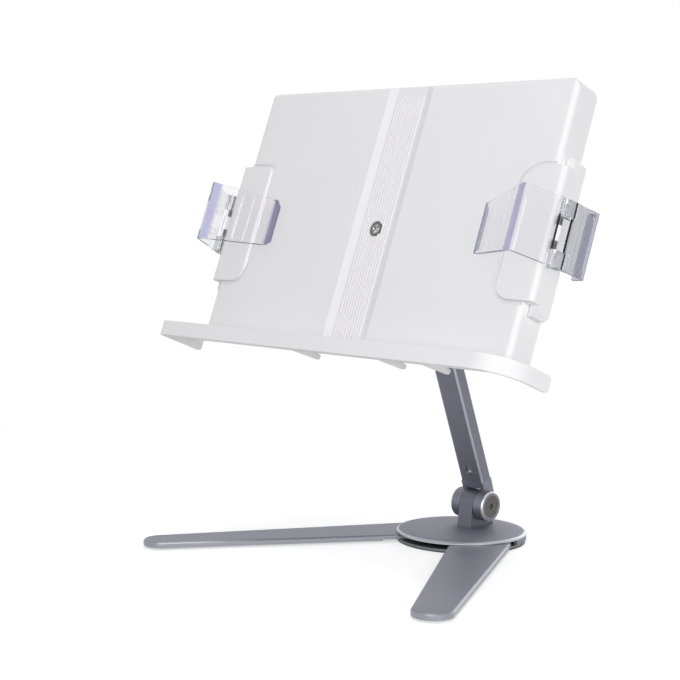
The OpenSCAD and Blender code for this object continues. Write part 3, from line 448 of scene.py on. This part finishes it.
# how far the rods lie in from the panel's side and top, and where they begin and end behind its face
bead_r, bead_in = 0.0022, 0.00425
bead_front, bead_back = -0.0422, -0.0240
for hand, hand_sign in hands:
    bead_place = (hand_sign * (panel_half - bead_in), (bead_front + bead_back) / 2, panel_top - bead_in)
    bpy.ops.object.select_all(action="DESELECT")
    bpy.ops.mesh.primitive_cylinder_add(vertices=32, radius=bead_r, depth=bead_back - bead_front,
                                        rotation=(math.pi / 2, 0, 0), location=bead_place)
    bead = bpy.context.object
    bead.name = "corner_bead_" + hand
    bpy.ops.object.transform_apply(location=True, rotation=True, scale=True)
    rounded = bead.modifiers.new("rounded", "BEVEL")
    rounded.width = 0.0006
    rounded.segments = 3
    bpy.ops.object.modifier_apply(modifier="rounded")
    bead.data.transform(panel_place)
    bpy.ops.object.shade_smooth_by_angle(angle=math.radians(40))
    bead.data.materials.append(white)
    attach(bead, "panel")


# Centre screw
# A plated cross-head screw that ties the panel to the head. It is sunk in the panel's boss. Its rim
# is painted dark, painted shade from the recess around it, and its head has dark and bright specks, painted
# glints.

# where the rim's painted shade begins and is full, out from the screw's axis
rim_start, rim_end = 0.0026, 0.0038
# the head's dark and bright specks, painted glints on the plated steel
head_glint_tones = (0.16, 0.16, 0.16), (0.85, 0.85, 0.86)
sunk, tree, shader = finish("screw_with_painted_shade_and_glints")
turning_and_glints = grain(tree, scale=1300.0, detail=2.0)
screw_reach = from_axis(tree, panel_axes(tree)[0], (1, 0, 1))
# the rim's painted shade
rim_painted_shade = add(tree, "Mix", data_type="RGBA")
rim_painted_shade.inputs["B"].default_value = (0.14, 0.138, 0.135, 1)
tree.links.new(rising(tree, screw_reach, rim_start, rim_end), rim_painted_shade.inputs["Factor"])
tree.links.new(tones(tree, turning_and_glints, *head_glint_tones, start=0.42, end=0.58), rim_painted_shade.inputs["A"])
tree.links.new(rim_painted_shade.outputs["Result"], shader.inputs["Base Color"])
tree.links.new(span(tree, turning_and_glints, low=0.20, high=0.34), shader.inputs["Roughness"])
bumps = relief(tree, turning_and_glints, depth=0.00002, strength=0.3, edge=0.0002)
tree.links.new(bumps, shader.inputs["Normal"])
shader.inputs["Metallic"].default_value = 1.0
dress(sunk, "panel_screw")


# Page clips
# Clear polished plastic, bent like a wide V with a handle behind the hinge. The violet-blue that it
# shows where its wall is seen end-on is painted on the ridge, the tip's foot and the handle's rim,
# and the clear handle has a painted grey shade.

clip_axis = panel_place.inverted() @ Vector(clip_hinge["pos_m"])
# where the tip's foot ends and the flange's ridge begins and ends, from the middle plane
tip_foot, ridge_start, ridge_end = (0.1035, 0.1062), (0.1455, 0.1468), (0.1515, 0.1525)
# the violet-blue of the wall seen end-on, painted on the tip's foot and on the ridge, where less light
# passes
tip_painted_tint, ridge_painted_tint = (0.24, 0.24, 0.38), (0.58, 0.58, 0.80)
tip_clearness, ridge_clearness = (0.5, 0.5, 0.5), (0.45, 0.45, 0.45)
# where the wall ends and the handle and its turned-in rim begin, behind the hinge's axis
wall_end, handle_start, handle_end, handle_rim = -0.0060, 0.0060, 0.0215, 0.0245
# the clear wall, the painted shade on the handle, and the violet-blue painted on the handle's rim
wall_tint, handle_painted_shade, handle_rim_painted_tint = (0.95, 0.945, 0.95), (0.50, 0.51, 0.54), (0.55, 0.55, 0.64)


def bands(tree, source, tints):
    """Colours at given values of a coordinate, running into each other."""
    low, high = tints[0][0], tints[-1][0]
    ramp = add(tree, "ValToRGB")
    for i, (value, colour) in enumerate(tints):
        at = (value - low) / (high - low)
        stop = ramp.color_ramp.elements[i] if i < 2 else ramp.color_ramp.elements.new(at)
        stop.position = at
        stop.color = (*colour, 1)
    tree.links.new(rising(tree, source, low, high), ramp.inputs["Fac"])
    return ramp.outputs["Color"]


def along_flange(tree, tip, ridge, clear=(1, 1, 1)):
    """Bands over the distance from the middle plane: the tip's foot, the flange, its ridge, the wall."""
    return bands(tree, aside(tree), [(tip_foot[0], tip), (tip_foot[1], clear),
                                     (ridge_start[0], clear), (ridge_start[1], ridge),
                                     (ridge_end[0], ridge), (ridge_end[1], clear)])


clear, tree, shader = finish("clear_plastic")
behind = add(tree, "Math", operation="SUBTRACT")
behind.inputs[1].default_value = clip_axis.y
tree.links.new(panel_axes(tree)[1]["Y"], behind.inputs[0])
depth_bands = bands(tree, behind.outputs["Value"], [(wall_end, wall_tint), (handle_start, handle_painted_shade),
                                                    (handle_end, handle_painted_shade), (handle_rim, handle_rim_painted_tint)])
# the painted violet-blue bands across the flange, times the painted shade behind the hinge
tinted = add(tree, "Mix", data_type="RGBA", blend_type="MULTIPLY")
tinted.inputs["Factor"].default_value = 1.0
tree.links.new(along_flange(tree, tip_painted_tint, ridge_painted_tint), tinted.inputs["A"])
tree.links.new(depth_bands, tinted.inputs["B"])
tree.links.new(tinted.outputs["Result"], shader.inputs["Base Color"])
ripple = grain(tree, scale=60.0, detail=2.0)
tree.links.new(span(tree, ripple, low=0.02, high=0.05), shader.inputs["Roughness"])
tree.links.new(relief(tree, ripple, depth=0.00006, strength=0.04), shader.inputs["Normal"])
clearness = along_flange(tree, tip_clearness, ridge_clearness)
tree.links.new(clearness, shader.inputs["Transmission Weight"])
shader.inputs["IOR"].default_value = 1.49
tint = add(tree, "VolumeAbsorption", Color=(0.80, 0.80, 0.92, 1), Density=20.0)
tree.links.new(tint.outputs["Volume"], tree.nodes["Material Output"].inputs["Volume"])
# light from the lamps passes on to what lies behind the clip
ray = add(tree, "LightPath")
lit_through = add(tree, "Math", operation="MAXIMUM")
tree.links.new(ray.outputs["Is Shadow Ray"], lit_through.inputs[0])
tree.links.new(ray.outputs["Is Diffuse Ray"], lit_through.inputs[1])
passed = add(tree, "BsdfTransparent", Color=(0.975, 0.975, 0.98, 1))
lets_through = add(tree, "MixShader")
tree.links.new(lit_through.outputs["Value"], lets_through.inputs["Fac"])
tree.links.new(shader.outputs["BSDF"], lets_through.inputs[1])
tree.links.new(passed.outputs["BSDF"], lets_through.inputs[2])
tree.links.new(lets_through.outputs["Shader"], tree.nodes["Material Output"].inputs["Surface"])
dress(clear, "clip_left", "clip_right")


# Torsion springs
# Hard-drawn wire wound round the clips' pins, one spring above and one below each white barrel.
# One straight end of it bears on the side plate's wall, the other on the clip's handle.

wire_r, coil_r, curls, steps_per_curl = 0.00035, 0.002, 4.5, 32
coil_low, coil_rise = 0.0057, 0.0054
# how near a vertex of the coil's open end lies to the middle plane of the coil, and to the end's height
on_plane, on_level = 1e-6, 1.1 * wire_r
# the runs of each straight end, one after the other
plate_end = (-0.0016, 0.0068, 0), (0, 0.0007, 0)
clip_end = (0.00212, 0.0068, 0), (0.0002, 0.0007, 0)

wire_tones = (0.10, 0.10, 0.105), (0.20, 0.20, 0.21)
wire = textured("spring_wire", scale=1200.0, detail=3.0, tints=wire_tones, rough=(0.25, 0.45), metallic=1.0)

bpy.ops.mesh.primitive_circle_add(vertices=14, radius=wire_r, location=(-coil_r, 0, coil_low),
                                  rotation=(math.pi / 2, 0, 0))
coil = bpy.context.object
bpy.ops.object.transform_apply(location=True, rotation=True, scale=True)
wind = coil.modifiers.new("wind", "SCREW")
wind.angle = curls * math.tau
wind.screw_offset = coil_rise
wind.steps = wind.render_steps = int(curls * steps_per_curl)
bpy.ops.object.modifier_apply(modifier="wind")


def wire_end(side, level, *runs):
    """Draws the coil's open end on one side of the axis out into a straight end and closes it."""
    bpy.ops.object.mode_set(mode="EDIT")
    bpy.ops.mesh.select_mode(type="VERT")
    bpy.ops.mesh.select_all(action="DESELECT")
    bpy.ops.object.mode_set(mode="OBJECT")
    for vertex in coil.data.vertices:
        near = abs(vertex.co.y) < on_plane and abs(vertex.co.z - level) < on_level
        vertex.select = near and vertex.co.x * side > 0
    bpy.ops.object.mode_set(mode="EDIT")
    for run in runs:
        bpy.ops.mesh.extrude_region_move(TRANSFORM_OT_translate={"value": run})
    bpy.ops.mesh.edge_face_add()
    bpy.ops.mesh.select_all(action="SELECT")
    bpy.ops.mesh.normals_make_consistent(inside=False)
    bpy.ops.object.mode_set(mode="OBJECT")


wire_end(-1, coil_low, *plate_end)
wire_end(1, coil_low + coil_rise, *clip_end)
bpy.ops.object.shade_smooth_by_angle(angle=math.radians(50))
coil.data.materials.append(wire)
for hand, hand_sign in hands:
    onto_hand = panel_place @ Matrix.Diagonal((hand_sign, 1, 1, 1)) @ Matrix.Translation(clip_axis)
    for end, end_sign in (("top", 1), ("bottom", -1)):
        spring = bpy.data.objects.new("wound_spring_" + hand + "_" + end, coil.data.copy())
        bpy.context.scene.collection.objects.link(spring)
        spring.data.transform(onto_hand @ Matrix.Diagonal((1, 1, end_sign, 1)))
        if hand_sign * end_sign < 0:
            spring.data.flip_normals()
        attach(spring, "slide_" + hand)
        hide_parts("spring_" + hand + "_" + end)
bpy.data.objects.remove(coil)


# Studio
# A pale sweep under and behind the stand, a tall softbox in front, a low one on the right, a
# small one above, and weaker ones on the left and behind.

sweep_r, fade_start, fade_end = 2.4, 0.35, 0.9
backdrop_glow = 0.5
room_light = (0.30, 0.30, 0.31, 1)
paper_tones = (0.86, 0.86, 0.86), (0.88, 0.88, 0.88)


def looks_on(tree):
    """One for rays that see the white backdrop: the camera's, and mirrored and refracted ones."""
    ray = add(tree, "LightPath")
    mirrored = add(tree, "Math", operation="MAXIMUM")
    seen = add(tree, "Math", operation="MAXIMUM")
    tree.links.new(ray.outputs["Is Camera Ray"], mirrored.inputs[0])
    tree.links.new(ray.outputs["Is Glossy Ray"], mirrored.inputs[1])
    tree.links.new(mirrored.outputs["Value"], seen.inputs[0])
    tree.links.new(ray.outputs["Is Transmission Ray"], seen.inputs[1])
    return seen.outputs["Value"]


bpy.ops.mesh.primitive_circle_add(vertices=96, radius=sweep_r, fill_type="NGON")
floor = bpy.context.object
floor.name = "floor"
paper, tree, shader = finish("paper_sweep")
tree.links.new(tones(tree, grain(tree, scale=40.0), *paper_tones), shader.inputs["Base Color"])
shader.inputs["Roughness"].default_value = 0.9
shader.inputs["Specular IOR Level"].default_value = 0.1
glow = add(tree, "Emission", Color=(1, 1, 1, 1))
tree.links.new(span(tree, looks_on(tree), low=0, high=backdrop_glow), glow.inputs["Strength"])
lit = add(tree, "AddShader")
tree.links.new(shader.outputs["BSDF"], lit.inputs[0])
tree.links.new(glow.outputs["Emission"], lit.inputs[1])
fade = add(tree, "MapRange", interpolation_type="SMOOTHSTEP")
fade.inputs["From Min"].default_value = fade_start
fade.inputs["From Max"].default_value = fade_end
tree.links.new(from_axis(tree, axes(tree)[0], (1, 1, 0)), fade.inputs["Value"])
clear_edge = add(tree, "BsdfTransparent")
sweep = add(tree, "MixShader")
tree.links.new(fade.outputs["Result"], sweep.inputs["Fac"])
tree.links.new(lit.outputs["Shader"], sweep.inputs[1])
tree.links.new(clear_edge.outputs["BSDF"], sweep.inputs[2])
tree.links.new(sweep.outputs["Shader"], tree.nodes["Material Output"].inputs["Surface"])
floor.data.materials.append(paper)


def softbox(name, place, aim, width, height, watts):
    """An area lamp at a place, turned towards a point."""
    lamp = bpy.data.lights.new(name, "AREA")
    lamp.shape = "RECTANGLE"
    lamp.size = width
    lamp.size_y = height
    lamp.energy = watts
    box = bpy.data.objects.new(name, lamp)
    box.location = place
    box.rotation_euler = (Vector(aim) - Vector(place)).to_track_quat("-Z", "Y").to_euler()
    bpy.context.scene.collection.objects.link(box)


softbox("softbox_front", (0.95, -1.45, 0.62), (0, -0.1, 0.20), width=1.0, height=1.2, watts=11.7)
softbox("softbox_right", (1.50, -0.45, 0.38), (0, -0.1, 0.15), width=0.9, height=0.7, watts=7)
softbox("softbox_above", (0.05, -0.35, 1.50), (0, -0.1, 0.20), width=0.7, height=0.5, watts=5)
softbox("softbox_left", (-1.90, -1.10, 0.80), (0, -0.1, 0.25), width=1.2, height=1.2, watts=1)
softbox("softbox_back", (-0.30, 1.70, 0.80), (0, 0, 0.20), width=1.4, height=1.2, watts=6)

world = bpy.data.worlds.new("studio")
bpy.context.scene.world = world
world.use_nodes = True
tree = world.node_tree
room = add(tree, "Mix", data_type="RGBA")
room.inputs["A"].default_value = room_light
room.inputs["B"].default_value = (1, 1, 1, 1)
tree.links.new(looks_on(tree), room.inputs["Factor"])
tree.links.new(room.outputs["Result"], tree.nodes["Background"].inputs["Color"])

bpy.context.scene.view_settings.view_transform = "Standard"

bpy.context.view_layer.update()
